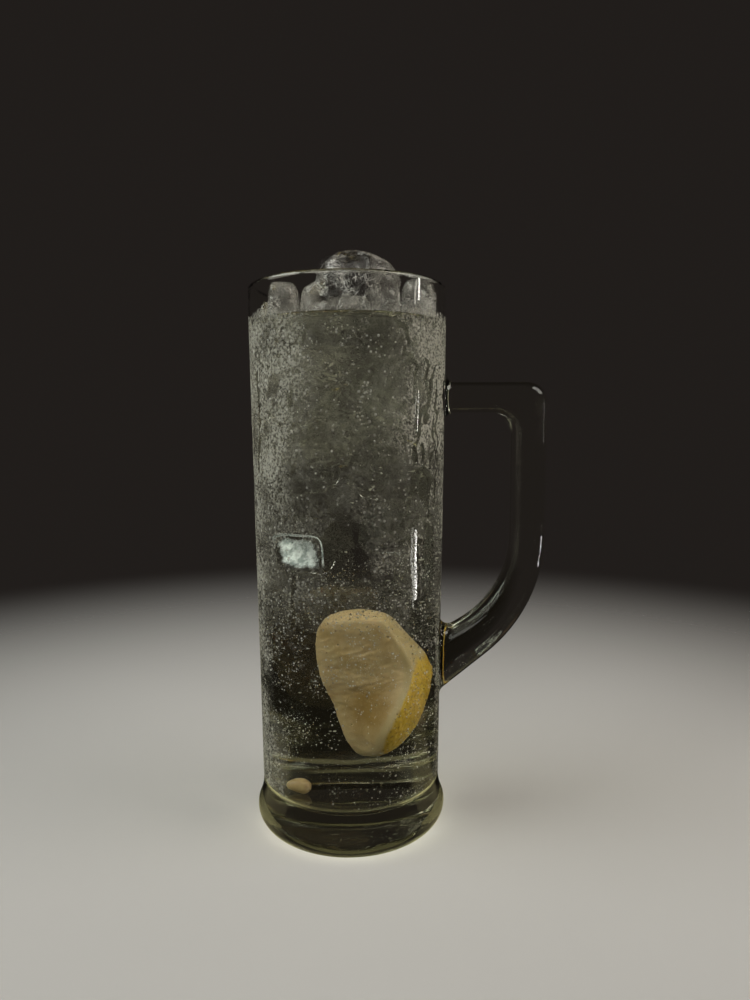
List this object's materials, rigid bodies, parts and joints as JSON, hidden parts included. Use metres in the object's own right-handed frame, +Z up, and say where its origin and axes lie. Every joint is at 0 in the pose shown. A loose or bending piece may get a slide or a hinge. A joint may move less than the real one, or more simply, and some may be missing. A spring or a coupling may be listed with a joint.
{
  "type": "glass of highball",
  "caption": "Tall pressed-glass mug with a D handle and rounded foot, full of clear sparkling drink, with ice standing above the rim and a lemon wedge sunk low inside.",
  "frame": {"origin": "on the mug's axis, in the plane of the foot ring that it stands on", "axes": "+Z up along the mug's axis, +X towards the handle"},
  "size_m": [0.1142, 0.075, 0.2226],
  "materials": {
    "glass": "clear pressed glass, misted outside by condensation",
    "drink": "clear sparkling liquid",
    "ice": "wet half-melted ice with cracks and trapped air",
    "lemon": "wet citrus rind, pith and pulp"
  },
  "bodies": {
    "root": {"mug": "glass", "drink": "drink", "ice_top": "ice", "ice_left": "ice", "ice_right": "ice", "ice_back": "ice", "lemon_wedge": "lemon"}
  },
  "joints": []
}
